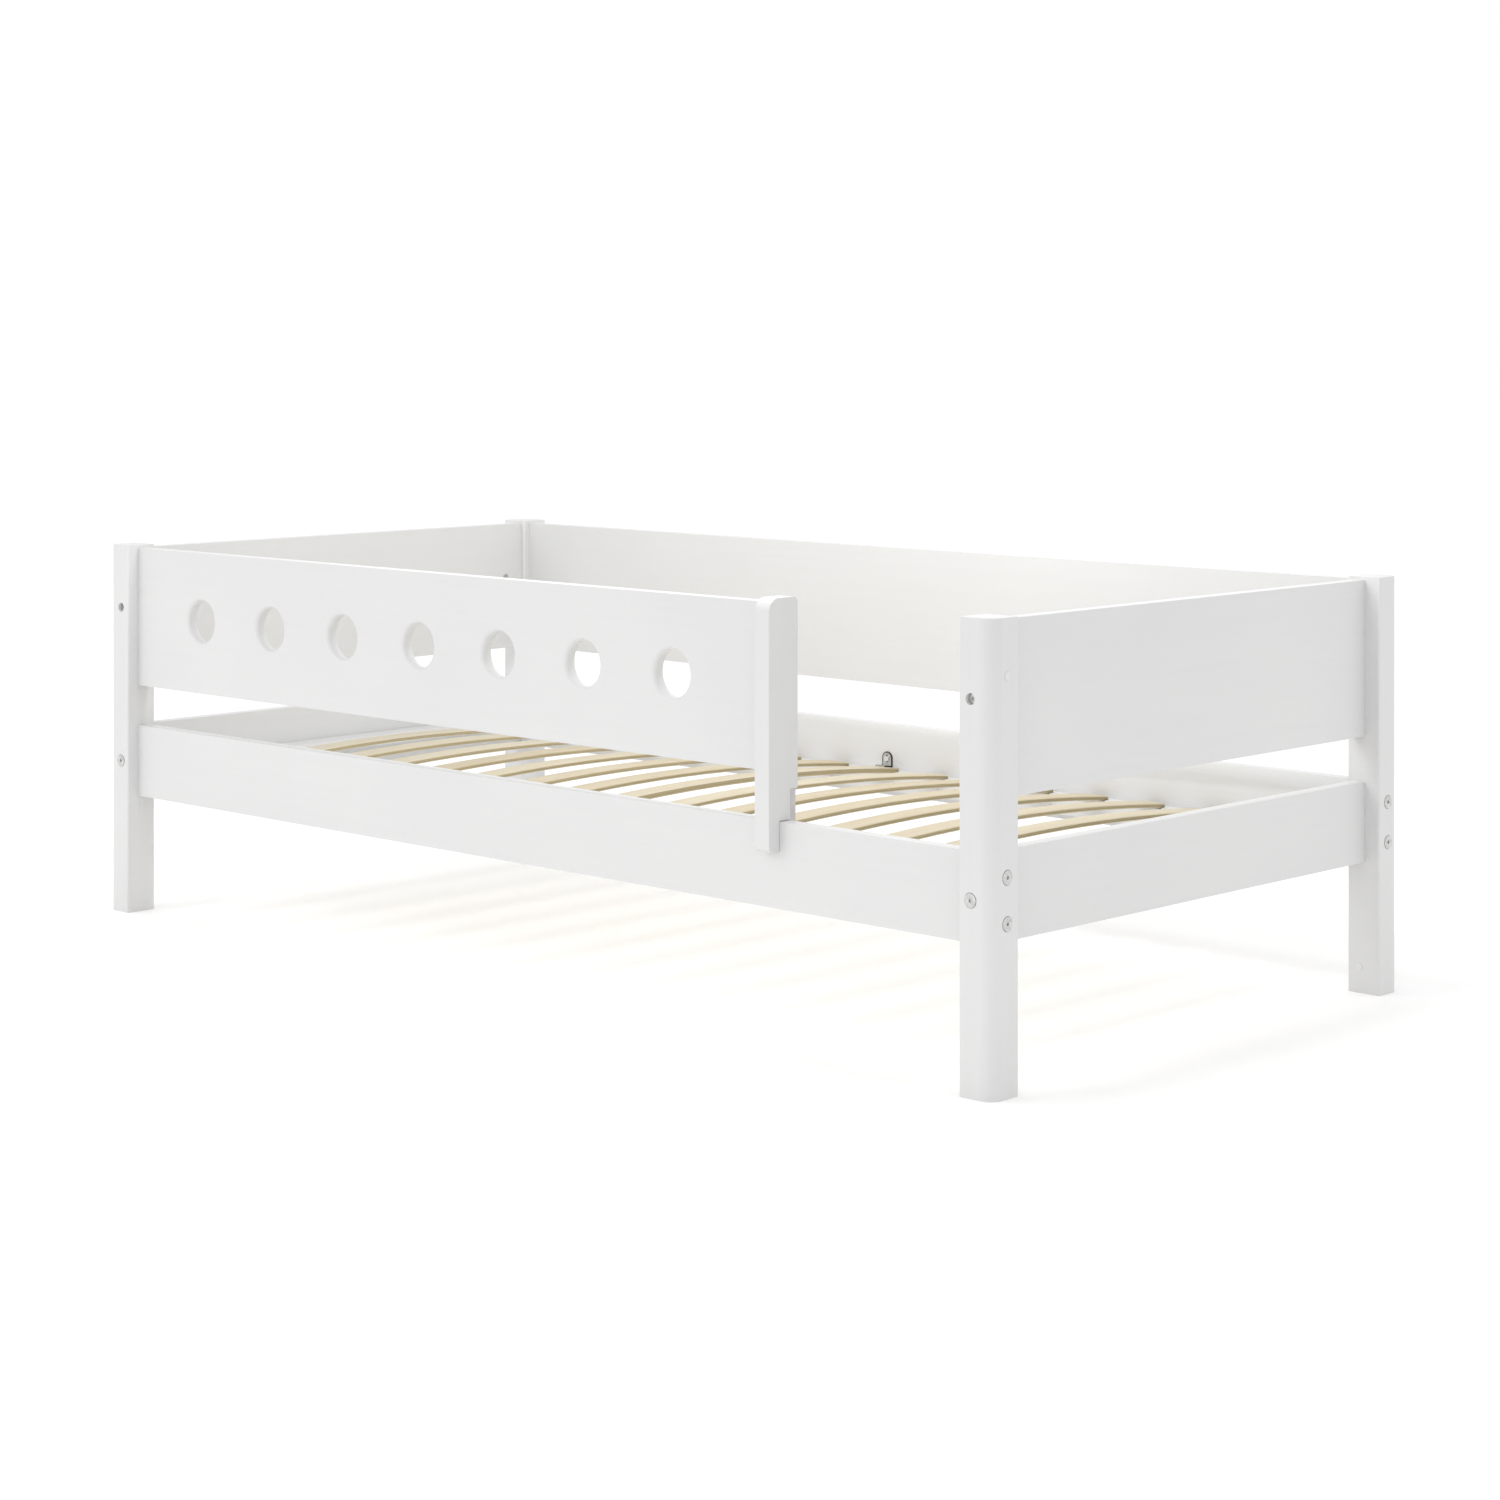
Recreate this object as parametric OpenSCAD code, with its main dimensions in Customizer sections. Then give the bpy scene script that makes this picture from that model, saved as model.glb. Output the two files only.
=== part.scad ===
// Toddler bed on four square posts: slatted base, closed ends and back,
// and a three-quarter guard board with round holes along the open front.
// The head end is at -X, the foot end at +X, and the open front faces -Y.
// The origin is on the floor, under the middle of the bed.

/* [Mattress] */
// Length of the mattress that lies in the bed
mattress_length = 1900; // [1500:10:2300]
// Width of the mattress
mattress_width = 900; // [700:10:1200]
// Clearance between the mattress and the board at each end
mattress_gap_end = 2; // [1:1:15]
// Clearance between the mattress and the board at each side
mattress_gap_side = 4; // [1:1:15]

/* [Posts] */
// Width of a square post
post_w = 57; // [50:1:80]
// Radius of a post's outer upright corner
post_corner_r = 21; // [5:1:24]
// Radius of a post's other three upright corners
post_edge_r = 3; // [1:0.5:5]
// How far a post stands above the panels
post_rise = 5; // [0:1:40]

/* [Boards] */
// Thickness of every rail, panel and guard board
board_t = 22; // [18:1:27]
// How far the side boards lie behind the outer faces of the posts
side_inset = 22; // [12:1:28]
// How far the end boards lie behind the outer faces of the posts
end_inset = 26; // [12:1:28]
// Height of the side and end rails
rail_h = 124; // [110:1:180]
// Height of the rails' lower edge above the floor
rail_bottom = 203; // [120:1:400]
// Open gap between the rails and the panels
panel_gap = 70; // [40:1:90]
// Height of the end panels, the back panel and the guard board
panel_h = 241; // [200:1:400]

/* [Guard] */
// Length of the guard board, from the head post to the stile
guard_length = 1510; // [700:10:1600]
// Number of round holes in the guard board
guard_holes = 7; // [1:1:9]
// Diameter of a round hole
guard_hole_d = 71; // [40:1:110]
// Height of the holes above the middle of the board
guard_hole_rise = 3; // [-20:1:20]
// Radius of the rounded rim of a hole
guard_rim_r = 7.5; // [1:0.5:8]
// Distance between the centres of two holes
guard_hole_pitch = 190; // [130:1:260]
// How far the row of holes lies from the middle of the board, towards the head
guard_hole_shift = 4; // [-30:1:30]
// Thickness of the stile at the guard's free end
stile_t = 28; // [20:1:40]
// Height of the stile above the guard board
stile_rise = 7; // [0:1:30]
// Depth of the stile behind the rail's inner face
stile_back = 16; // [12:1:30]
// Radius of the stile's upper front corner
stile_front_r = 20; // [2:1:20]
// Radius of the stile's upper rear corner
stile_rear_r = 9; // [2:1:14]
// How far the stile's tongue reaches down over the rail
tongue_overlap = 43; // [20:1:90]
// How far the clamp reaches up above the rail
clamp_above = 44; // [30:1:80]
// How far the clamp reaches down behind the rail
clamp_below = 42; // [20:1:70]
// Slack between the stile's fork and the rail
fork_gap = 0.5; // [0.2:0.1:2]

/* [Slats] */
// Number of bent slats
slat_count = 15; // [9:1:19]
// Width of a slat
slat_w = 45; // [35:1:60]
// Thickness of a slat
slat_t = 8; // [6:0.5:12]
// Rise of a slat's middle above its ends
slat_bow = 24; // [10:1:40]
// Distance between the centres of two slats
slat_pitch = 114.5; // [80:0.5:130]
// Clearance between a slat's end and the rail
slat_end_gap = 9; // [1:0.5:12]
// Slack of a slat in its pocket
pocket_gap = 0.5; // [0.2:0.1:2]
// Width of the flat bar at each end of the slats
bar_w = 50; // [30:1:55]
// Thickness of the flat bar
bar_t = 17; // [10:1:20]

/* [Ledgers] */
// Width of a ledger, which carries the ends of the slats
ledger_w = 22; // [16:1:35]
// Height of a ledger
ledger_h = 33; // [25:1:45]
// Depth of the rail above the ledger
ledger_drop = 80; // [60:1:85]
// Depth of a slat's pocket in the ledger
pocket_depth = 2; // [1:0.5:6]

/* [Fasteners] */
// Diameter of a connecting bolt
bolt_d = 8; // [6:1:10]
// Radial clearance of a bolt in its hole
bolt_gap = 0.5; // [0.2:0.1:1]
// Diameter of a rail bolt's flat head
rail_head_d = 20; // [14:1:24]
// Diameter of a panel bolt's cap head
panel_head_d = 13; // [10:1:16]
// Thickness of a bolt's head
head_h = 3; // [2:0.5:5]
// How deep a panel bolt's head is sunk in the post
panel_sink = 9; // [5:1:15]
// Width across the flats of a bolt's hexagon socket
socket_af = 5; // [3:0.5:6]
// Distance between the two bolts in a side rail's end
bolt_spacing = 62; // [40:1:80]
// Height of a panel bolt above the panel's middle
panel_bolt_rise = 16.5; // [-60:0.5:60]
// Diameter of a barrel nut
nut_d = 14; // [12:0.5:15]
// Distance from a board's end to its barrel nuts
nut_setback = 40; // [25:1:60]
// Diameter of a wooden dowel
dowel_d = 8; // [6:1:10]
// Length of a wooden dowel
dowel_l = 36; // [20:2:50]
// Shank diameter of a wood screw
screw_d = 4; // [3:0.5:5]
// Diameter of a plastic hole cap
cap_d = 12; // [8:1:16]

/* [Hidden] */
$fn = 64;
over = 1;
hair = 0.1;
curve_fn = 96;
bow_fn = 1440;

// The clear space inside the four boards
inner_l = mattress_length + 2 * mattress_gap_end;
inner_w = mattress_width + 2 * mattress_gap_side;

// The whole bed
bed_l = inner_l + 2 * (board_t + end_inset);
bed_w = inner_w + 2 * (board_t + side_inset);
rail_top = rail_bottom + rail_h;
panel_bottom = rail_top + panel_gap;
panel_top = panel_bottom + panel_h;
post_h = panel_top + post_rise;

// Centre planes of the boards, and the length of each between its two posts
side_y = bed_w / 2 - side_inset - board_t / 2;
end_x = bed_l / 2 - end_inset - board_t / 2;
side_l = bed_l - 2 * post_w;
end_l = bed_w - 2 * post_w;
rail_mid = rail_bottom + rail_h / 2;
panel_mid = panel_bottom + panel_h / 2;
panel_bolt_z = panel_mid + panel_bolt_rise;

// Guard
guard_x0 = -side_l / 2;
guard_x1 = guard_x0 + guard_length;
hole_z = panel_mid + guard_hole_rise;
stile_top = panel_top + stile_rise;
tongue_bottom = rail_top - tongue_overlap;
front_y = -bed_w / 2;
rail_front_y = front_y + side_inset;
rail_inner_y = rail_front_y + board_t;
stile_rear_y = rail_inner_y + stile_back;
clamp_front_y = rail_inner_y + fork_gap;
clamp_top = rail_top + clamp_above;
clamp_bottom = rail_top - clamp_below;
clamp_w = stile_t - 4;
clamp_r = 4;

// Slats and ledgers
ledger_top = rail_top - ledger_drop;
ledger_l = side_l - 2 * over;
slat_z = ledger_top - pocket_depth;
slat_l = inner_w - 2 * slat_end_gap;
slat_r = (pow(slat_l / 2, 2) + pow(slat_bow, 2)) / (2 * slat_bow);
slat_tilt = asin(slat_l / 2 / slat_r);
middle_slat = floor((slat_count - 1) / 2);
bar_x = inner_l / 2 - over - bar_w / 2;
bar_l = inner_w - 5;

// Brackets that tie the middle slat to the side rails
bracket_w = 22;
bracket_t = 2.5;
bracket_foot = 20;
bracket_rise = 26;
bracket_slot_w = 5.5;
bracket_slot_h = 13;

// Fasteners
dowel_in = dowel_l / 2;
rail_dowel_z = rail_h / 2 - 14;
end_panel_dowel_z = [-85, 70];
side_panel_dowel_z = [-60, 95];
nut_l = board_t - 4;
head_rim = 0.5;
bolt_past_nut = 6;
screw_head_d = 2 * screw_d;
screw_head_h = 2.2;
ledger_screws = 8;
cap_z = panel_mid + 47;
foot_cap_z = 40;

SLATS = [for (i = [1 : slat_count]) str("slat_", i < 10 ? "0" : "", i)];

// ---------------------------------------------------------------- helpers

// A cylinder from a point along +X, +Y or +Z
module rod_x(at, d, l) translate(at) rotate([0, 90, 0]) cylinder(d = d, h = l);
module rod_y(at, d, l) translate(at) rotate([-90, 0, 0]) cylinder(d = d, h = l);
module rod_z(at, d, l) translate(at) cylinder(d = d, h = l);

// A block centred along X and Y, standing on z
module block(at, size) translate([at[0] - size[0] / 2, at[1] - size[1] / 2, at[2]]) cube(size);

// The sliver left outside a rounded corner at the origin, inside the first quadrant
module corner_waste(r) {
    difference() {
        translate([-over, -over]) square(r + over);
        translate([r, r]) circle(r = r, $fn = curve_fn);
    }
}

// A rectangle from the origin with four corner radii, anticlockwise from the origin
module rounded_rect(w, h, r) {
    difference() {
        square([w, h]);
        corner_waste(r[0]);
        translate([w, 0]) mirror([1, 0]) corner_waste(r[1]);
        translate([w, h]) mirror([1, 0]) mirror([0, 1]) corner_waste(r[2]);
        translate([0, h]) mirror([0, 1]) corner_waste(r[3]);
    }
}

// Copies for both ends or both sides of the bed
module both_ends() for (sx = [-1, 1]) scale_sign(sx, 1) children();
module both_sides() for (sy = [-1, 1]) scale_sign(1, sy) children();
module four_corners() both_ends() both_sides() children();
module scale_sign(sx, sy) mirror([sx < 0 ? 1 : 0, 0, 0]) mirror([0, sy < 0 ? 1 : 0, 0]) children();

// ------------------------------------------------------ holes and fasteners
// Each is drawn for the foot end of the rear side, and mirrored to the other corners.

// Hole for a bolt that runs from a post's outer end face into a side rail
module side_bolt_hole(z) {
    reach = post_w + nut_setback + bolt_past_nut + over;
    rod_x([bed_l / 2 - reach, side_y, z], bolt_d + 2 * bolt_gap, reach + over);
    rod_x([bed_l / 2 - head_h + head_rim, side_y, z], rail_head_d + 2 * bolt_gap, head_h + over);
}

// Hole for a bolt that runs from a post's outer side face into an end rail
module end_bolt_hole(z, head_d, sink) {
    reach = post_w + nut_setback + bolt_past_nut + over;
    rod_y([end_x, bed_w / 2 - reach, z], bolt_d + 2 * bolt_gap, reach + over);
    rod_y([end_x, bed_w / 2 - sink, z], head_d + 2 * bolt_gap, sink + over);
}

module side_nut_hole(z) {
    rod_y([side_l / 2 - nut_setback, side_y - board_t / 2 - ledger_w - over, z],
          nut_d + 2 * hair, ledger_w + over + nut_l + 2);
}

module end_nut_hole(z) {
    rod_x([end_x - board_t / 2 - over, end_l / 2 - nut_setback, z], nut_d + 2 * hair, nut_l + 2 + over);
}

module dowel_y_hole(z) {
    rod_y([end_x, end_l / 2 - dowel_in - over, z], dowel_d + 2 * hair, dowel_l + 2 * over);
}

module dowel_x_hole(z) {
    rod_x([side_l / 2 - dowel_in - over, side_y, z], dowel_d + 2 * hair, dowel_l + 2 * over);
}

// A bolt along +X whose head ends at the origin plane, with a hexagon socket
module bolt(length, head_d) {
    difference() {
        union() {
            rod_x([-length, 0, 0], bolt_d, length);
            rod_x([-head_h, 0, 0], head_d, head_h);
        }
        translate([-head_h + 1, 0, 0]) rotate([0, 90, 0])
            cylinder(d = socket_af / cos(30), h = head_h, $fn = 6);
    }
}

// A wood screw pointing along -Z with its countersunk head at the origin plane
module screw(length) {
    rotate_extrude() polygon([
        [0, 0], [screw_head_d / 2, 0], [screw_head_d / 2, -0.4], [screw_d / 2, -screw_head_h],
        [screw_d / 2, -length + screw_d], [0, -length]]);
}

// The hole that such a screw needs, with slack at its head
module screw_hole(length) {
    translate([0, 0, -length - hair]) cylinder(d = screw_d + 2 * hair, h = length + hair + over);
    translate([0, 0, -screw_head_h - hair]) cylinder(d = screw_head_d + 4 * hair, h = screw_head_h + over);
}

// ------------------------------------------------------------------- posts

// A post for the foot end of the rear side, without its holes
module post_blank() {
    x0 = bed_l / 2 - post_w;
    y0 = bed_w / 2 - post_w;
    translate([x0, y0, 0]) linear_extrude(post_h)
        rounded_rect(post_w, post_w, [post_edge_r, post_edge_r, post_corner_r, post_edge_r]);
}

// Places of the caps that close the post's unused holes
module end_face_cap() rod_x([bed_l / 2 - 3, side_y, cap_z], cap_d, 3.6);
module foot_face_cap() rod_y([end_x, end_l / 2 - 0.6, foot_cap_z], cap_d, 3.6);
module end_face_cap_hole() rod_x([bed_l / 2 - 20, side_y, cap_z], cap_d + 2 * hair, 20 + over);
module foot_face_cap_hole() rod_y([end_x, end_l / 2 - over, foot_cap_z], cap_d + 2 * hair, 20 + over);

// The boards on this post's side decide which dowel and cap holes it has
module post(side_board, end_cap, foot_cap) {
    color("white") difference() {
        post_blank();
        for (dz = [-1, 1]) side_bolt_hole(rail_mid + dz * bolt_spacing / 2);
        end_bolt_hole(rail_mid, rail_head_d, head_h - head_rim);
        end_bolt_hole(panel_bolt_z, panel_head_d + 2, panel_sink);
        for (dz = [-1, 1]) dowel_y_hole(rail_mid + dz * rail_dowel_z);
        for (dz = end_panel_dowel_z) dowel_y_hole(panel_mid + dz);
        if (side_board) for (dz = side_panel_dowel_z) dowel_x_hole(panel_mid + dz);
        if (end_cap) end_face_cap_hole();
        if (foot_cap) foot_face_cap_hole();
    }
}

module post_front_head() scale_sign(-1, -1) post(side_board = true, end_cap = false, foot_cap = false);
module post_front_foot() scale_sign(1, -1) post(side_board = false, end_cap = true, foot_cap = false);
module post_rear_head() scale_sign(-1, 1) post(side_board = true, end_cap = false, foot_cap = true);
module post_rear_foot() scale_sign(1, 1) post(side_board = true, end_cap = false, foot_cap = true);

// ------------------------------------------------------------------- rails

// Places of the screws that hold a ledger, shared by rail, ledger and screws
function ledger_screw_x(i) = (i / (ledger_screws - 1) - 0.5) * (ledger_l - 4 * nut_setback);
ledger_screw_z = ledger_top - ledger_h / 2 - 4;
ledger_screw_l = ledger_w + board_t - 6;

module at_ledger_screws() {
    for (i = [0 : ledger_screws - 1])
        translate([ledger_screw_x(i), side_y - board_t / 2 - ledger_w, ledger_screw_z])
            rotate([90, 0, 0]) children();
}

// A side rail on the rear side
module side_rail() {
    color("white") difference() {
        block([0, side_y, rail_bottom], [side_l, board_t, rail_h]);
        both_ends() for (dz = [-1, 1]) {
            side_bolt_hole(rail_mid + dz * bolt_spacing / 2);
            side_nut_hole(rail_mid + dz * bolt_spacing / 2);
        }
        at_ledger_screws() screw_hole(ledger_screw_l);
        at_bracket_rail_screw() screw_hole(bracket_screw_l);
    }
}

module side_rail_front() scale_sign(1, -1) difference() {
    side_rail();
    at_clamp_rail_screw() screw_hole(clamp_screw_l);
}
module side_rail_rear() side_rail();

// An end rail at the foot end
module end_rail() {
    color("white") difference() {
        block([end_x, 0, rail_bottom], [board_t, end_l, rail_h]);
        both_sides() {
            end_bolt_hole(rail_mid, rail_head_d, head_h);
            end_nut_hole(rail_mid);
            for (dz = [-1, 1]) dowel_y_hole(rail_mid + dz * rail_dowel_z);
        }
    }
}

module end_rail_head() scale_sign(-1, 1) end_rail();
module end_rail_foot() end_rail();

// ------------------------------------------------------------------ panels

// An end panel at the foot end
module end_panel() {
    color("white") difference() {
        block([end_x, 0, panel_bottom], [board_t, end_l, panel_h]);
        both_sides() {
            end_bolt_hole(panel_bolt_z, panel_head_d + 2, head_h);
            end_nut_hole(panel_bolt_z);
            for (dz = end_panel_dowel_z) dowel_y_hole(panel_mid + dz);
        }
    }
}

module end_panel_head() scale_sign(-1, 1) end_panel();
module end_panel_foot() end_panel();

module back_panel() {
    color("white") difference() {
        block([0, side_y, panel_bottom], [side_l, board_t, panel_h]);
        both_ends() for (dz = side_panel_dowel_z) dowel_x_hole(panel_mid + dz);
    }
}

// ------------------------------------------------------------------- guard

function guard_hole_x(i) = (guard_x0 + guard_x1) / 2 - guard_hole_shift
    + (i - (guard_holes - 1) / 2) * guard_hole_pitch;

// A round hole along +Y through a board of thickness t, with both rims rounded over
module rimmed_hole(d, t, r) {
    rotate([-90, 0, 0]) rotate_extrude($fn = curve_fn) difference() {
        translate([0, -over]) square([d / 2 + r, t + 2 * over]);
        translate([d / 2, r]) square([r + over, t - 2 * r]);
        translate([d / 2 + r, r]) circle(r = r, $fn = curve_fn);
        translate([d / 2 + r, t - r]) circle(r = r, $fn = curve_fn);
    }
}

module stile_dowel_hole(z) {
    rod_x([guard_x1 - dowel_in - over, -side_y, z], dowel_d + 2 * hair, dowel_in + over + 14);
}

module guard_board() {
    color("white") difference() {
        block([(guard_x0 + guard_x1) / 2, -side_y, panel_bottom], [guard_length, board_t, panel_h]);
        for (i = [0 : guard_holes - 1])
            translate([guard_hole_x(i), rail_front_y, hole_z])
                rimmed_hole(guard_hole_d, board_t, guard_rim_r);
        for (dz = side_panel_dowel_z) {
            scale_sign(-1, -1) dowel_x_hole(panel_mid + dz);
            stile_dowel_hole(panel_mid + dz);
        }
    }
}

// The stile's side outline: Y runs along the first axis, Z along the second
module stile_outline() {
    depth = stile_rear_y - front_y;
    tongue_t = side_inset - fork_gap;
    difference() {
        translate([front_y, tongue_bottom])
            rounded_rect(depth, stile_top - tongue_bottom, [10, 2, stile_rear_r, stile_front_r]);
        translate([front_y + tongue_t, tongue_bottom - over])
            square([depth, rail_top + 2 * fork_gap - tongue_bottom + over]);
        translate([clamp_front_y, rail_top])
            square([depth, clamp_top - rail_top + fork_gap]);
    }
}

// Screws through the clamp: two up into the stile, one into the rail
clamp_screw_l = stile_back + 14;
clamp_screw_z = [clamp_top - 12, clamp_top - 30];
stile_mid_x = guard_x1 + stile_t / 2;

module at_clamp_stile_screws() {
    for (z = clamp_screw_z) translate([stile_mid_x, stile_rear_y, z]) rotate([-90, 0, 0]) children();
}

// Drawn for the rear side, as the side rail is
module at_clamp_rail_screw() {
    translate([stile_mid_x, -stile_rear_y, clamp_bottom + 14]) rotate([90, 0, 0]) children();
}

module guard_stile() {
    color("white") difference() {
        translate([guard_x1, 0, 0]) rotate([90, 0, 90]) linear_extrude(stile_t) stile_outline();
        for (dz = side_panel_dowel_z) stile_dowel_hole(panel_mid + dz);
        at_clamp_stile_screws() screw_hole(clamp_screw_l);
    }
}

module guard_clamp() {
    clamp_t = stile_rear_y - clamp_front_y;
    color("silver") difference() {
        translate([stile_mid_x - clamp_w / 2, clamp_front_y, clamp_bottom])
            linear_extrude(clamp_top - clamp_bottom)
                rounded_rect(clamp_w, clamp_t, [clamp_r, clamp_r, clamp_r, clamp_r]);
        at_clamp_stile_screws() screw_hole(clamp_screw_l);
        scale_sign(1, -1) at_clamp_rail_screw() screw_hole(clamp_screw_l);
    }
}

module guard_clamp_screws() {
    color("gainsboro") {
        at_clamp_stile_screws() screw(clamp_screw_l);
        scale_sign(1, -1) at_clamp_rail_screw() screw(clamp_screw_l);
    }
}

module guard_dowels() {
    color("burlywood") for (dz = side_panel_dowel_z) {
        scale_sign(-1, -1) rod_x([side_l / 2 - dowel_in, side_y, panel_mid + dz], dowel_d, dowel_l);
        rod_x([guard_x1 - dowel_in, -side_y, panel_mid + dz], dowel_d, dowel_in + 13);
    }
}

// ----------------------------------------------------------- slatted base

function slat_x(i) = (i - (slat_count - 1) / 2) * slat_pitch;

// A ledger on the rear side, with room for the barrel nuts and a shallow pocket for
// each slat; a pocket is open towards the bed and closed behind the slat's end
module ledger() {
    pocket_w = slat_w + 2 * pocket_gap;
    pocket_y = inner_w / 2 - ledger_w - over;
    color("white") difference() {
        block([0, side_y - board_t / 2 - ledger_w / 2, ledger_top - ledger_h], [ledger_l, ledger_w, ledger_h]);
        for (i = [0 : slat_count - 1]) translate([slat_x(i) - pocket_w / 2, pocket_y, slat_z])
            cube([pocket_w, slat_l / 2 + pocket_gap - pocket_y, pocket_depth + over]);
        both_ends() side_nut_hole(rail_mid - bolt_spacing / 2);
        at_ledger_screws() screw_hole(ledger_screw_l);
        both_ends() at_bar_screw() screw_hole(bar_screw_l);
        at_bracket_slat_screw() screw_hole(bracket_screw_l);
    }
}

module ledger_front() scale_sign(1, -1) ledger();
module ledger_rear() ledger();

module ledger_screws() color("gainsboro") both_sides() at_ledger_screws() screw(ledger_screw_l);

// The bend of a slat seen from its edge: an arc of constant thickness, ends cut upright
module slat_outline() {
    intersection() {
        difference() {
            translate([0, slat_bow + slat_t - slat_r]) circle(r = slat_r, $fn = bow_fn);
            translate([0, slat_bow - slat_r]) circle(r = slat_r, $fn = bow_fn);
        }
        translate([-slat_l / 2, -slat_t]) square([slat_l, slat_bow + 3 * slat_t]);
    }
}

module slat(i) {
    color("wheat") difference() {
        translate([slat_x(i) - slat_w / 2, 0, slat_z]) rotate([90, 0, 90]) linear_extrude(slat_w) slat_outline();
        if (i == middle_slat) both_sides() at_bracket_slat_screw() screw_hole(bracket_screw_l);
    }
}

// A flat bar that closes the space between the last slat and the end rail
bar_screw_l = bar_t + 20;
module at_bar_screw() {
    translate([bar_x, side_y - board_t / 2 - ledger_w / 2, ledger_top + bar_t]) children();
}

module end_bar() {
    color("white") difference() {
        block([bar_x, 0, ledger_top], [bar_w, bar_l, bar_t]);
        both_sides() translate([side_l / 2 - over, bed_w / 2 - post_w - over, ledger_top - over])
            cube([post_w, post_w, bar_t + 2 * over]);
        both_sides() at_bar_screw() screw_hole(bar_screw_l);
    }
}

module end_bar_head() scale_sign(-1, 1) end_bar();
module end_bar_foot() end_bar();
module end_bar_screws() color("gainsboro") four_corners() at_bar_screw() screw(bar_screw_l);

// A bent steel bracket: its foot lies on the middle slat, its upright stands against the rail.
// The seat is the part of the foot that bears on the slat.
bracket_screw_l = 18;
bracket_x = slat_x(middle_slat) - (slat_w - bracket_w) / 2 + over;
bracket_y = side_y - board_t / 2 - hair;
bracket_seat = slat_l / 2 - (bracket_y - bracket_foot);
bracket_seat_y = slat_l / 2 - bracket_seat / 2;
bracket_foot_z = slat_z + slat_bow + slat_t - slat_r
    + sqrt(pow(slat_r, 2) - pow(bracket_seat_y, 2)) + hair;
bracket_slot_z = bracket_foot_z + 13;

module at_bracket_foot() {
    translate([bracket_x, bracket_seat_y, bracket_foot_z])
        rotate([-asin(bracket_seat_y / slat_r), 0, 0]) children();
}

module at_bracket_slat_screw() at_bracket_foot() translate([0, 0, bracket_t]) children();

// The head of this screw bears on the bracket's upright
module at_bracket_rail_screw() {
    translate([bracket_x, bracket_y - bracket_t, bracket_slot_z]) rotate([90, 0, 0]) children();
}

module slat_bracket() {
    color("silver") difference() {
        union() {
            at_bracket_foot() translate([-bracket_w / 2, -bracket_seat / 2, 0])
                cube([bracket_w, bracket_foot + 2, bracket_t]);
            translate([bracket_x, bracket_y, bracket_foot_z - 1]) rotate([90, 0, 0])
                linear_extrude(bracket_t) union() {
                    translate([-bracket_w / 2, 0]) square([bracket_w, bracket_rise - bracket_w / 2]);
                    translate([0, bracket_rise - bracket_w / 2]) circle(d = bracket_w);
                }
        }
        translate([bracket_x, bracket_y + over, bracket_slot_z]) rotate([90, 0, 0])
            linear_extrude(bracket_t + 2 * over) {
                translate([-bracket_slot_w / 2, -bracket_slot_h / 2]) square([bracket_slot_w, bracket_slot_h]);
            }
        at_bracket_slat_screw() screw_hole(bracket_screw_l);
        block([bracket_x, bracket_y + board_t / 2, 0], [2 * bracket_w, board_t, rail_top]);
    }
}

module slat_bracket_front() scale_sign(1, -1) slat_bracket();
module slat_bracket_rear() slat_bracket();

module slat_bracket_screws() {
    color("gainsboro") both_sides() {
        at_bracket_slat_screw() screw(bracket_screw_l);
        at_bracket_rail_screw() washer_screw();
    }
}

// A pan-head screw pointing along -Z whose head bears on the origin plane
module washer_screw() {
    cylinder(d = bracket_slot_w + 4, h = 2.2);
    translate([0, 0, -bracket_screw_l]) cylinder(d = screw_d, h = bracket_screw_l);
}

// --------------------------------------------------------- bolts and nuts

bolt_length = post_w + nut_setback + bolt_past_nut;

module side_rail_bolts() {
    color("silver") four_corners() for (dz = [-1, 1])
        translate([bed_l / 2 + head_rim, side_y, rail_mid + dz * bolt_spacing / 2])
            bolt(bolt_length + head_rim, rail_head_d);
}

module end_rail_bolts() {
    color("silver") four_corners()
        translate([end_x, bed_w / 2 + head_rim, rail_mid]) rotate([0, 0, 90])
            bolt(bolt_length + head_rim, rail_head_d);
}

module end_panel_bolts() {
    color("silver") four_corners()
        translate([end_x, bed_w / 2 - panel_sink + head_h, panel_bolt_z]) rotate([0, 0, 90])
            bolt(bolt_length - panel_sink + head_h, panel_head_d);
}

module side_rail_nuts() {
    color("silver") four_corners() for (dz = [-1, 1]) difference() {
        rod_y([side_l / 2 - nut_setback, side_y - nut_l / 2, rail_mid + dz * bolt_spacing / 2], nut_d, nut_l);
        rod_x([side_l / 2 - nut_setback - nut_d, side_y, rail_mid + dz * bolt_spacing / 2],
              bolt_d + 2 * hair, 2 * nut_d);
    }
}

module end_nut(z) {
    difference() {
        rod_x([end_x - nut_l / 2, end_l / 2 - nut_setback, z], nut_d, nut_l);
        rod_y([end_x, end_l / 2 - nut_setback - nut_d, z], bolt_d + 2 * hair, 2 * nut_d);
    }
}

module end_rail_nuts() color("silver") four_corners() end_nut(rail_mid);
module end_panel_nuts() color("silver") four_corners() end_nut(panel_bolt_z);

// ------------------------------------------------------- dowels and caps

module dowel_y(z) rod_y([end_x, end_l / 2 - dowel_in, z], dowel_d, dowel_l);

module end_rail_dowels() {
    color("burlywood") four_corners() for (dz = [-1, 1]) dowel_y(rail_mid + dz * rail_dowel_z);
}

module end_panel_dowels() {
    color("burlywood") four_corners() for (dz = end_panel_dowel_z) dowel_y(panel_mid + dz);
}

module back_panel_dowels() {
    color("burlywood") both_ends() for (dz = side_panel_dowel_z)
        rod_x([side_l / 2 - dowel_in, side_y, panel_mid + dz], dowel_d, dowel_l);
}

module hole_caps() {
    color("white") {
        scale_sign(1, -1) end_face_cap();
        both_ends() foot_face_cap();
    }
}

// ------------------------------------------------------------------- draw

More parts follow.
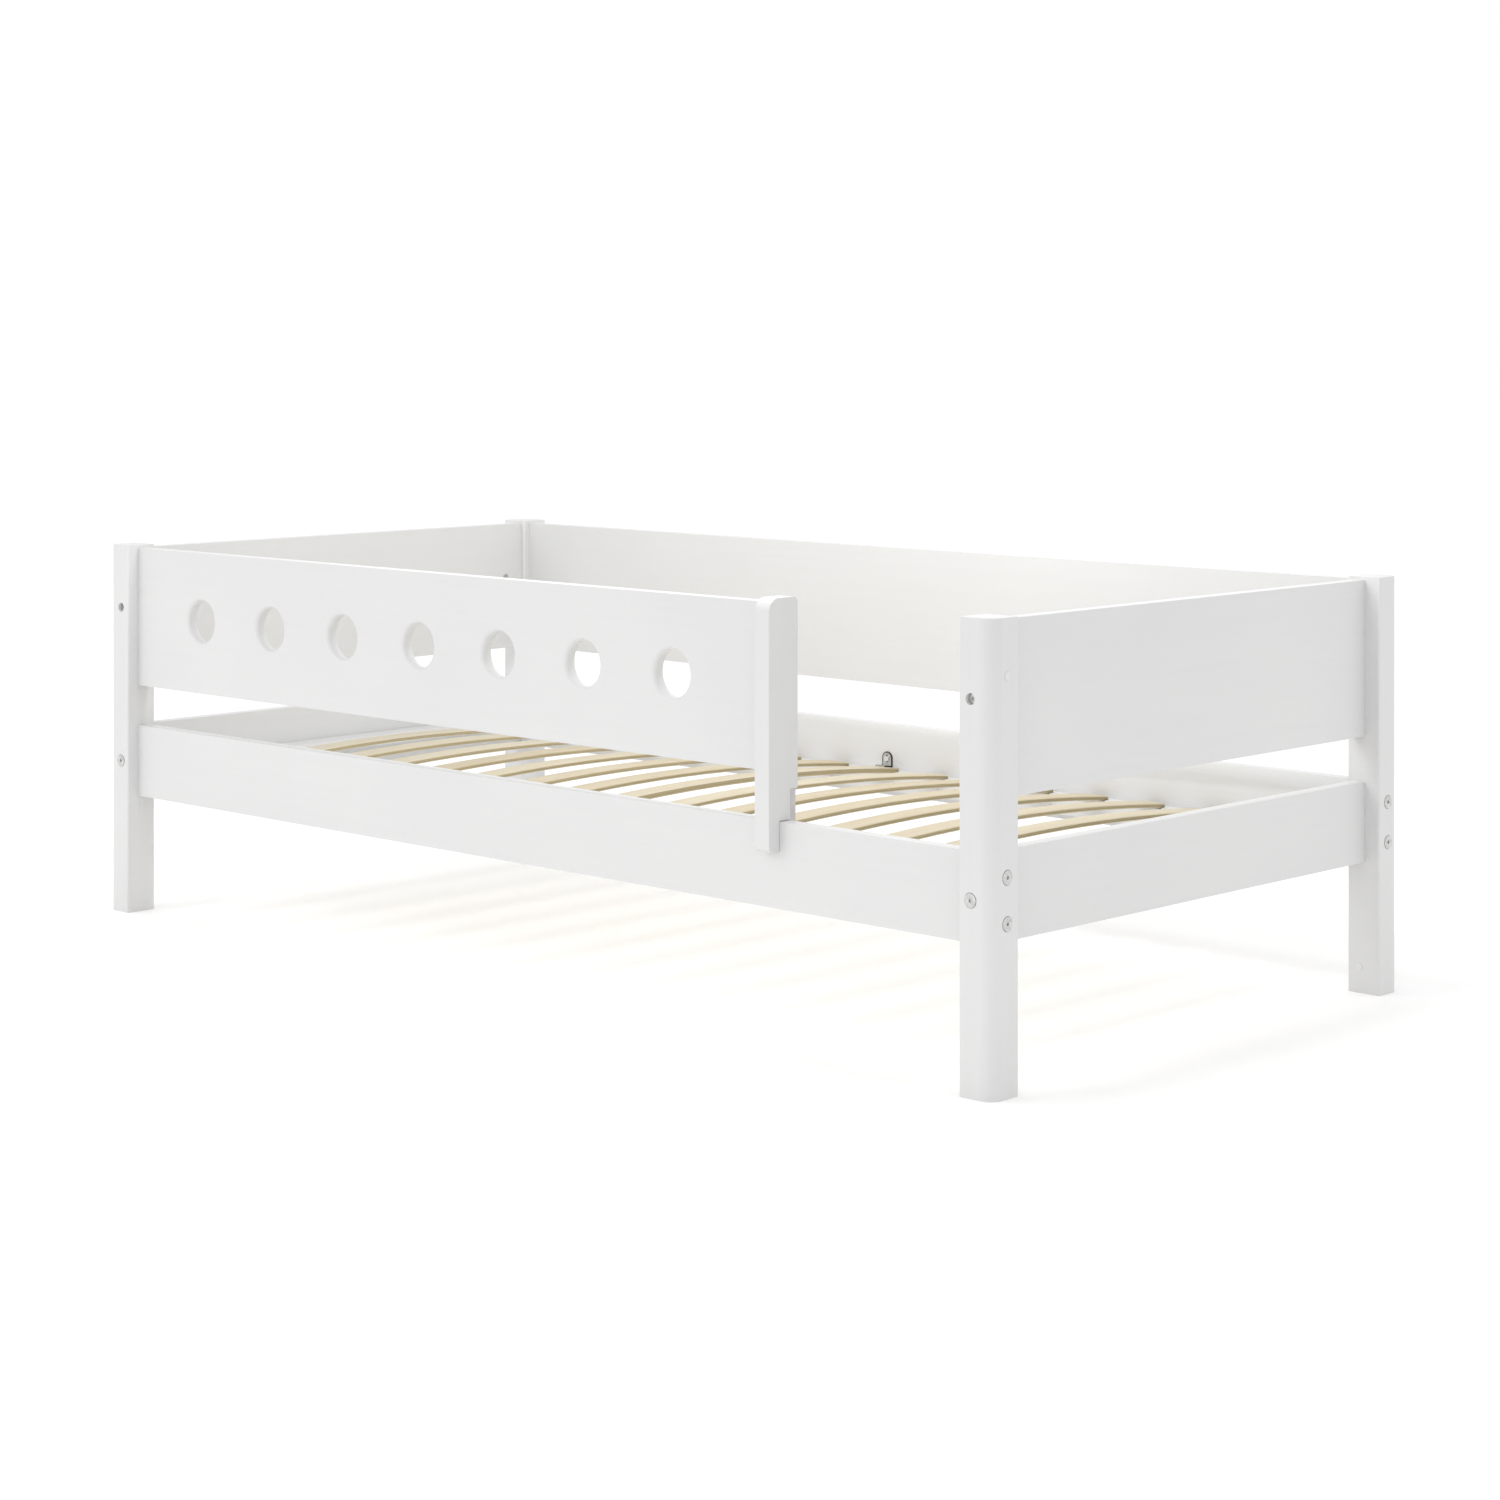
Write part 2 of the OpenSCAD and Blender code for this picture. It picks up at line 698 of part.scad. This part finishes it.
post_front_head();
post_front_foot();
post_rear_head();
post_rear_foot();
side_rail_front();
side_rail_rear();
end_rail_head();
end_rail_foot();
end_panel_head();
end_panel_foot();
back_panel();
guard_board();
guard_stile();
guard_clamp();
guard_clamp_screws();
guard_dowels();
ledger_front();
ledger_rear();
ledger_screws();
end_bar_head();
end_bar_foot();
end_bar_screws();
slat_bracket_front();
slat_bracket_rear();
slat_bracket_screws();
side_rail_bolts();
end_rail_bolts();
end_panel_bolts();
side_rail_nuts();
end_rail_nuts();
end_panel_nuts();
end_rail_dowels();
end_panel_dowels();
back_panel_dowels();
hole_caps();
for (i = [0 : slat_count - 1]) slat(i);
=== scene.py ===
# %% [markdown]
# # A toddler bed with a guard board
# The bed comes to Blender as finished joinery: every board, slat, bolt and dowel is a piece of
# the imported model, in metres, with the floor at z = 0. It comes with knife-sharp edges and
# without a finish. This lesson softens edges where the meshes allow it, gives each piece a
# surface like the real thing's, and sets up a studio round it.

# %% Load the bed
import math

import bpy
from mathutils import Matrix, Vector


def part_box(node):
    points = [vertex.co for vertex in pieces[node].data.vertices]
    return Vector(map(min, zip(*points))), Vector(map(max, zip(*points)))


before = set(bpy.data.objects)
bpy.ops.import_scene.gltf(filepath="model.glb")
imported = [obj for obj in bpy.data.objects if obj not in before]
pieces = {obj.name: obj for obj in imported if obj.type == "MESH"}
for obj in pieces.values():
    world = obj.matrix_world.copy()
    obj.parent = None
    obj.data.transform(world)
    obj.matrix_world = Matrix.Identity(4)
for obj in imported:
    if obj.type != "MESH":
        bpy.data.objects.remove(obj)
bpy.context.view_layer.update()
print(len(pieces), "pieces")

# %% [markdown]
# ## Sorting the pieces
# A joiner sorts parts by how they are made. Boards that run the same way share a grain direction,
# so the lists below are by direction: along the bed, across it, and upright.

# %% Boards by the way their grain runs
boards_along = ["side_rail_front", "side_rail_rear", "back_panel", "guard_board"]
strips_along = ["ledger_front", "ledger_rear"]
boards_across = ["end_rail_head", "end_rail_foot", "end_panel_head", "end_panel_foot"]
strips_across = ["end_bar_head", "end_bar_foot"]
uprights = [
    "post_front_head", "post_front_foot", "post_rear_head", "post_rear_foot", "guard_stile",
]
slats = sorted(name for name in pieces if name.startswith("slat_") and name[5:].isdigit())
brackets = ["slat_bracket_front", "slat_bracket_rear"]
screws = ["guard_clamp_screws", "ledger_screws", "end_bar_screws"]
bracket_screws = ["slat_bracket_screws"]
nuts = ["side_rail_nuts", "end_rail_nuts", "end_panel_nuts"]
dowels = ["guard_dowels", "end_rail_dowels", "end_panel_dowels", "back_panel_dowels"]
print(len(boards_along + strips_along), "boards along")
print(len(boards_across + strips_across), "boards across")
print(len(uprights), "uprights,", len(slats), "slats")

# %% [markdown]
# ## Softening the edges
# No edge of a child's bed is sharp: each board is rounded over on a router before it is
# lacquered, and the rounding is what catches the light. A Bevel modifier can round the edges
# without touching the model itself. It needs a clean mesh, so a Weld modifier first joins the
# corners that the import left split, and a Decimate modifier in its planar mode melts the
# triangles of each flat face into one. Only edges sharper than the angle limit are picked.
#
# The modifier clamps its width so that no two roundings overlap, and one short edge clamps the
# whole piece. Holes and curved outlines are made of short edges, so bored boards and the posts
# stay nearly sharp, at a quarter of a millimetre or less. The slats without a screw hole get all
# of theirs.

# %% A helper that rounds a piece's edges
join_within = 0.00002
flat_within = math.radians(0.6)
sharp_from = math.radians(50)

def soften(names, radius, segments=3):
    """Asks for a rounding, in metres, on every sharp edge. The clamp can make it smaller."""
    for name in names:
        piece = pieces[name]
        weld = piece.modifiers.new("Join split corners", "WELD")
        weld.merge_threshold = join_within
        flat = piece.modifiers.new("Melt flat faces", "DECIMATE")
        flat.decimate_type = "DISSOLVE"
        flat.angle_limit = flat_within
        bevel = piece.modifiers.new("Rounded edges", "BEVEL")
        bevel.width = radius
        bevel.segments = segments
        bevel.limit_method = "ANGLE"
        bevel.angle_limit = sharp_from
        bevel.use_clamp_overlap = True
        bevel.miter_outer = "MITER_ARC"
        bevel.harden_normals = True
    print("asked for", round(radius * 1000, 2), "mm on", len(names), "pieces")

# %% Round the boards, the posts and the slats
board_radius, upright_radius, strip_radius = 0.002, 0.0025, 0.0015
slat_radius, clamp_radius = 0.0038, 0.0012

soften(boards_along + boards_across, board_radius)
soften(uprights, upright_radius)
soften(strips_along + strips_across, strip_radius)
soften(slats, slat_radius, segments=5)
soften(["guard_clamp"], clamp_radius)

# %% [markdown]
# ## Shader sums as ordinary sums
# A procedural finish is mostly arithmetic on patterns. Blender does that with Math nodes, which
# are slow to read when each is made by hand. The small class below wraps a node's output so that
# drift + grain * 0.3 adds its Math nodes by itself.

# %% A socket that can be added and multiplied
class Sock:
    """The output of a shader node, ready for sums."""

    def __init__(self, finish, socket):
        self.finish = finish
        self.socket = socket

    def maths(self, operation, first, second=0.0):
        return self.finish.node("ShaderNodeMath", {"operation": operation}, {0: first, 1: second})

    def __add__(self, other):
        return self.maths("ADD", self, other)

    def __sub__(self, other):
        return self.maths("SUBTRACT", self, other)

    def __mul__(self, other):
        return self.maths("MULTIPLY", self, other)

    def __truediv__(self, other):
        return self.maths("DIVIDE", self, other)

    def __pow__(self, other):
        return self.maths("POWER", self, other)

    def __abs__(self):
        return self.maths("ABSOLUTE", self)

    __radd__ = __add__

    def at_least(self, lowest):
        return self.maths("MAXIMUM", self, lowest)

    def floor(self):
        return self.maths("FLOOR", self)

    def sine(self):
        return self.maths("SINE", self)

    def above(self, edge):
        return self.maths("GREATER_THAN", self, edge)

print("sums are ready")

# %% [markdown]
# ## A finish
# A finish is one material with its main shader. Everything that is the same all over the piece is
# set straight on the shader, and what changes over the surface is linked to it. One method adds
# any node: it takes the node's type, its settings, and the values or links of its inputs.

# %% The finish class
class Finish:
    """A material with one main shader and a way to add nodes in front of it."""

    def __init__(self, name, **constants):
        self.material = bpy.data.materials.new(name)
        self.material.use_nodes = True
        self.tree = self.material.node_tree
        self.main = self.tree.nodes["Principled BSDF"]
        for label, value in constants.items():
            self.main.inputs[label.replace("_", " ")].default_value = value

    def node(self, kind, settings=None, inputs=None, output=0):
        node = self.tree.nodes.new(kind)
        for label, value in (settings or {}).items():
            if label == "stops":
                self.set_stops(node.color_ramp, value)
            else:
                setattr(node, label, value)
        for label, value in (inputs or {}).items():
            self.feed(node.inputs[label], value)
        return Sock(self, node.outputs[output])

    def feed(self, socket, value):
        if isinstance(value, Sock):
            self.tree.links.new(value.socket, socket)
        else:
            socket.default_value = value

    def set_stops(self, ramp, stops):
        while len(ramp.elements) < len(stops):
            ramp.elements.new(0.5)
        for element, (position, colour) in zip(ramp.elements, stops):
            element.position = position
            element.color = (*colour, 1.0)

    def shade(self, **links):
        """Links values that change over the surface to the main shader."""
        for label, value in links.items():
            self.feed(self.main.inputs[label.replace("_", " ")], value)

    def give(self, names):
        for name in names:
            for slot in pieces[name].material_slots:
                slot.material = self.material
        print(self.material.name, "on", len(names), "pieces")

print("finishes are ready")

# %% [markdown]
# ## Places and patterns
# Each piece keeps its place in its mesh, so Object coordinates are the bed's own coordinates in
# metres, and a pattern can be sized in real units. A noise that is stretched along one axis is
# grain, and the same noise unstretched is the drift of tone that any large surface has.

# %% Helpers for coordinates, noise, colour and relief
def place(finish):
    """The point on the surface, in metres."""
    return finish.node("ShaderNodeTexCoord", output="Object")

def axes(finish, point):
    """The point's x, y and z as three values."""
    split = finish.node("ShaderNodeSeparateXYZ", inputs={"Vector": point})
    return [Sock(finish, out) for out in split.socket.node.outputs]

def noise(finish, point, per_metre, detail=3.0, roughness=0.55, distortion=0.0):
    """Noise with so many cells to the metre along x, y and z."""
    sized = finish.node("ShaderNodeMapping", inputs={"Vector": point, "Scale": per_metre})
    values = {"Vector": sized, "Scale": 1.0, "Detail": detail}
    values.update({"Roughness": roughness, "Distortion": distortion})
    return finish.node("ShaderNodeTexNoise", inputs=values)

def ramp(finish, value, stops):
    return finish.node("ShaderNodeValToRGB", {"stops": stops}, {"Fac": value})

mix_mask, mix_under, mix_over, mix_colour_out = 0, 6, 7, 2

def blend(finish, mask, under, over):
    """One colour over another, where the mask is 1."""
    inputs = {mix_mask: mask, mix_under: under, mix_over: over}
    return finish.node("ShaderNodeMix", {"data_type": "RGBA"}, inputs, output=mix_colour_out)

def relief(finish, height, depth):
    """A bump as deep as the height goes from 0 to 1."""
    inputs = {"Strength": 1.0, "Distance": depth, "Height": height}
    return finish.node("ShaderNodeBump", inputs=inputs)

print("patterns are ready")

# %% [markdown]
# ## White lacquer
# The boards are lacquered white, with a satin sheen. A spray gun leaves a very fine orange peel,
# and the grain of the board below telegraphs through the film as long, faint ripples. Both are
# far too shallow to model, so they go into the bump. The white itself drifts a little, warmer in
# one place and cooler in another, because no film is equally thick all over.

# %% Lacquer with its grain along x, y or z
def lacquer(name, grain_axis):
    finish = Finish(name, IOR=1.5, Coat_Roughness=0.25)
    point = place(finish)
    streaks = [95.0, 95.0, 95.0]
    streaks[grain_axis] = 2.5
    drift = noise(finish, point, (2.2, 2.2, 2.2), detail=2.0)
    grain = noise(finish, point, streaks, detail=4.0, roughness=0.6, distortion=0.4)
    peel = noise(finish, point, (420.0, 420.0, 420.0), detail=1.0)
    whites = [(0.30, (0.650, 0.652, 0.651)), (0.70, (0.688, 0.688, 0.685))]
    height = grain * 0.75 + peel * 0.25
    finish.shade(
        Base_Color=ramp(finish, drift * 0.7 + grain * 0.3, whites),
        Roughness=0.30 + drift * 0.12 + peel * 0.06,
        Normal=relief(finish, height, 0.00012),
    )
    return finish

lacquer("White lacquer, grain along", 0).give(boards_along + strips_along)
lacquer("White lacquer, grain across", 1).give(boards_across + strips_across)
lacquer("White lacquer, grain upright", 2).give(uprights)

# %% [markdown]
# ## Birch slats
# A bent slat is a stack of birch veneers, glued and pressed in a curved mould. Its face shows the
# pale grain along the slat, and no two slats have quite the same tone. Its edges show the plies
# as thin brown lines that follow the bow. The lines are worked out from the bow itself: the
# height above the slat's underside, divided by the thickness of a ply.

# %% Measure the bow of a slat
slat_low, slat_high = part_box(slats[0])
slat_thickness = 0.008
slat_half = slat_high.y
slat_bow = slat_high.z - slat_low.z - slat_thickness
slat_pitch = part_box(slats[1])[0].x - slat_low.x
slat_first = (slat_low.x + slat_high.x) / 2
print("bow", round(slat_bow * 1000, 1), "mm over", round(slat_half * 2000), "mm")
print("pitch", round(slat_pitch * 1000, 1), "mm")

# %% Birch veneer with plies along the edges
birch = Finish("Birch veneer", IOR=1.48)
point = place(birch)
x, y, z = axes(birch, point)
number = ((x - slat_first) / slat_pitch + 0.5).floor()
tone = birch.node("ShaderNodeTexWhiteNoise", {"noise_dimensions": "1D"}, {"W": number + 0.37})
own = birch.node("ShaderNodeCombineXYZ", inputs={"X": x + tone * 3.0, "Y": y + tone * 7.0, "Z": z})
figure = noise(birch, own, (34.0, 5.0, 34.0), detail=3.0, distortion=1.2)
grain = noise(birch, own, (420.0, 9.0, 420.0), detail=4.0, roughness=0.65, distortion=0.3)
pores = noise(birch, own, (1500.0, 45.0, 1500.0), detail=2.0)
shade = figure * 0.40 + grain * 0.35 + tone * 0.25
pale, middling, dark = (0.640, 0.583, 0.456), (0.577, 0.508, 0.370), (0.505, 0.425, 0.285)
face = ramp(birch, shade, [(0.28, dark), (0.50, middling), (0.72, pale)])
face = blend(birch, (pores - 0.62).above(0.0) * 0.25, face, (0.50, 0.38, 0.23, 1.0))
print("face colour ready, slat thickness", slat_thickness * 1000, "mm")

# %% The plies on the slats' edges
plies = 6.0
glue_from = 0.86
sideways_from = 0.82
depth = (z - (slat_low.z + slat_bow) + y * y * (slat_bow / slat_half ** 2)) / slat_thickness
layer = depth * plies + grain * 0.20
ply = layer.floor()
glue = ((layer - ply) - glue_from).above(0.0)
odd = birch.node("ShaderNodeTexWhiteNoise", {"noise_dimensions": "1D"}, {"W": ply + number * 11.0})
edge_stops = [(0.25, (0.360, 0.297, 0.163)), (0.75, (0.480, 0.402, 0.244))]
edge = ramp(birch, odd * 0.6 + figure * 0.4, edge_stops)
edge = blend(birch, glue * 0.7, edge, (0.20, 0.135, 0.07, 1.0))
facing = birch.node("ShaderNodeNewGeometry", output="Normal")
sideways = abs(axes(birch, facing)[0]).above(sideways_from)
birch.shade(
    Base_Color=blend(birch, sideways, face, edge),
    Roughness=0.46 + grain * 0.14 + sideways * 0.18,
    Normal=relief(birch, grain * 0.6 + pores * 0.4 - glue * sideways * 0.8, 0.00015),
)
birch.give(slats)

# %% [markdown]
# ## Zinc-plated steel
# The bolts, screws, nuts and brackets are steel under bright zinc. Zinc is never quite even: it
# is cloudy, and the clouds differ more in gloss than in colour. A bolt's head was faced on a
# lathe, which leaves rings round its centre, so each group of bolts measures the distance to its
# own axis.

# %% Steel, with or without rings
ring_pitch = 9000.0
# painted shade: the near-black colour painted on the brackets' rims
painted_shade_colour = (0.060, 0.058, 0.055, 1.0)
dull_zinc = (0.46, 0.46, 0.45), (0.68, 0.68, 0.67)
bright_zinc = (0.70, 0.70, 0.69), (0.86, 0.86, 0.85)
bracket_zinc = (0.42, 0.42, 0.41), (0.62, 0.62, 0.61)

def zinc(name, tones=dull_zinc, rings_of=None, painted_shade_of=None):
    finish = Finish(name, Metallic=1.0)
    point = place(finish)
    cloud = noise(finish, point, (160.0, 160.0, 160.0), detail=3.0, distortion=0.6)
    fine = noise(finish, point, (1400.0, 1400.0, 1400.0), detail=1.0)
    height = fine * 0.5
    colour = ramp(finish, cloud, [(0.3, tones[0]), (0.7, tones[1])])
    if rings_of:
        height = height + (rings_of(*axes(finish, point)) * ring_pitch).sine() * 0.5
    # painted shade: the rim mask blends the dark colour into the steel
    if painted_shade_of:
        colour = blend(finish, painted_shade_of(*axes(finish, point)), colour, painted_shade_colour)
    bump = relief(finish, height, 0.00002)
    finish.shade(Base_Color=colour, Roughness=0.22 + cloud * 0.22, Normal=bump)
    return finish

def from_axis(across, up):
    """How far a point is from an axis, from its two distances."""
    return (across * across + up * up) ** 0.5

zinc("Zinc plate").give(screws + nuts)
zinc("Bright zinc", bright_zinc).give(bracket_screws)

# %% [markdown]
# A bracket is stamped out of sheet. Its outline is painted dark. This is painted shade that stands
# for the shaded edges of the plate, in a rim about two millimetres wide that is darkest at the
# edge. It follows the straight sides and the arch on top.

# %% The brackets with their rims in painted shade
arch_low, arch_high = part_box("slat_bracket_rear")
arch_half = (arch_high.x - arch_low.x) / 2
arch_x, arch_z = arch_low.x + arch_half, arch_high.z - arch_half
rim_width, rim_fade = 0.0021, 0.0010

def near_rim(x, y, z):
    """Mask of the painted shade: 0 on the plate, growing from the inner side of the rim outwards.
    """
    out = from_axis(x - arch_x, (z - arch_z).at_least(0.0))
    return ((out - (arch_half - rim_width)) / rim_fade).at_least(0.0)

zinc("Stamped steel", bracket_zinc, painted_shade_of=near_rim).give(brackets)

# %% The turned heads of the three kinds of bolt
head_radius = 0.010
side_low, side_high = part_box("side_rail_bolts")
side_y, side_z = side_high.y - head_radius, (side_low.z + side_high.z) / 2
side_half = (side_high.z - side_low.z) / 2 - head_radius
end_low, end_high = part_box("end_rail_bolts")
end_x, end_z = end_high.x - head_radius, (end_low.z + end_high.z) / 2
cap_low, cap_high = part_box("end_panel_bolts")
cap_z = (cap_low.z + cap_high.z) / 2
print("bolt axes at y", round(side_y, 4), "and x", round(end_x, 4))
print("their middle heights", round(side_z, 4), round(end_z, 4), round(cap_z, 4))

def side_rings(x, y, z):
    return from_axis(abs(y) - side_y, abs(z - side_z) - side_half)

def end_rings(x, y, z):
    return from_axis(abs(x) - end_x, z - end_z)

def panel_rings(x, y, z):
    return from_axis(abs(x) - end_x, z - cap_z)

zinc("Zinc plate, side bolts", rings_of=side_rings).give(["side_rail_bolts"])
zinc("Zinc plate, end bolts", rings_of=end_rings).give(["end_rail_bolts"])
zinc("Zinc plate, panel bolts", rings_of=panel_rings).give(["end_panel_bolts"])

# %% [markdown]
# ## Plastic and dowels
# The clamp behind the guard's stile and the caps over the unused holes are moulded plastic, with
# the fine matt texture that a spark-eroded mould leaves. The dowels are turned beech with a
# coarser, redder grain. They are hidden in the joints, but anyone who takes the bed apart will
# see them.

# %% Moulded plastic
def moulded(name, light, dark, roughness):
    finish = Finish(name, IOR=1.46)
    point = place(finish)
    texture = noise(finish, point, (2200.0, 2200.0, 2200.0), detail=1.0)
    flow = noise(finish, point, (45.0, 45.0, 45.0), detail=2.0, distortion=0.8)
    colour = ramp(finish, flow, [(0.35, dark), (0.65, light)])
    bump = relief(finish, texture, 0.00004)
    finish.shade(Base_Color=colour, Roughness=roughness + texture * 0.12, Normal=bump)
    return finish

grey = moulded("Grey plastic", (0.600, 0.575, 0.585), (0.560, 0.535, 0.545), 0.42)
grey.give(["guard_clamp"])
white = moulded("White plastic", (0.715, 0.718, 0.715), (0.690, 0.692, 0.690), 0.38)
white.give(["hole_caps"])

# %% Beech dowels
beech = Finish("Beech", IOR=1.48)
point = place(beech)
streak = noise(beech, point, (60.0, 60.0, 600.0), detail=3.0)
fleck = noise(beech, point, (500.0, 500.0, 900.0), detail=1.0)
browns = [(0.3, (0.36, 0.20, 0.10)), (0.7, (0.60, 0.41, 0.24))]
beech.shade(
    Base_Color=ramp(beech, streak * 0.7 + fleck * 0.3, browns),
    Roughness=0.62 + fleck * 0.1,
    Normal=relief(beech, streak, 0.0001),
)
beech.give(dowels)

# %% [markdown]
# ## The studio
# White furniture is shown on a white sweep under large soft lights. The floor is one wide sheet
# that glows very faintly, and the sky is an even white that fills every shadow. A broad light
# from the front left makes the front a little brighter than the ends, so that the corners read. A
# weaker one hangs above the slats and lights the inside of the back panel.

# %% The floor
bpy.ops.mesh.primitive_plane_add(size=60.0, location=(0.0, 0.0, 0.0))
floor = bpy.context.object
floor.name = "floor"
full_white = (1.0, 1.0, 1.0, 1.0)
paper = Finish(
    "Studio floor", Roughness=0.9, IOR=1.3, Emission_Color=full_white, Emission_Strength=0.08
)
sheet = noise(paper, place(paper), (3.0, 3.0, 3.0), detail=2.0)
paper_tones = [(0.3, (0.95, 0.95, 0.95)), (0.7, (0.97, 0.97, 0.97))]
paper.shade(Base_Color=ramp(paper, sheet, paper_tones))
floor.data.materials.append(paper.material)
print("floor laid")

# %% The sky
world = bpy.data.worlds.new("Studio")
world.use_nodes = True
sky = world.node_tree.nodes["Background"]
sky.inputs["Color"].default_value = full_white
sky.inputs["Strength"].default_value = 1.0
bpy.context.scene.world = world
print("sky strength", sky.inputs["Strength"].default_value)

# %% A helper that hangs a soft light and points it at the bed
def softbox(name, place_at, target, width, height, watts):
    """A rectangular light, in metres and watts, that faces its target."""
    data = bpy.data.lights.new(name, "AREA")
    data.shape = "RECTANGLE"
    data.size, data.size_y = width, height
    data.energy = watts
    light = bpy.data.objects.new(name, data)
    bpy.context.scene.collection.objects.link(light)
    light.location = place_at
    aim = target[0] - place_at[0], target[1] - place_at[1], target[2] - place_at[2]
    level = math.hypot(aim[0], aim[1])
    light.rotation_euler = (math.atan2(level, -aim[2]), 0.0, math.atan2(-aim[0], aim[1]))
    print(name, watts, "W")

softbox("Front light", (-2.2, -4.6, 3.2), (0.0, 0.0, 0.3), 3.0, 2.0, 43.0)
softbox("Inside light", (0.35, -0.25, 1.70), (0.10, 0.25, 0.40), 1.1, 0.3, 12.0)

# %% [markdown]
# ## The camera
# The camera stands off the bed's front foot corner, at about eye height for an adult who is
# sitting, and looks level, so the posts stay upright in the picture. A long lens keeps the bed's
# length from stretching. The picture is shifted down to the bed instead of tilting the camera.

# %% Place the camera
camera_data = bpy.data.cameras.new("Camera")
camera_data.sensor_width = 36.0
camera_data.lens = 76.886
camera_data.shift_x = 0.03213
camera_data.shift_y = -0.28978
camera = bpy.data.objects.new("Camera", camera_data)
camera.location = (3.6955, -3.8061, 1.0462)
camera.rotation_euler = (math.radians(90.0), 0.0, math.radians(44.346))
bpy.context.scene.collection.objects.link(camera)
bpy.context.scene.camera = camera
bpy.context.scene.view_settings.view_transform = "Standard"
print("camera at", [round(v, 2) for v in camera.location])
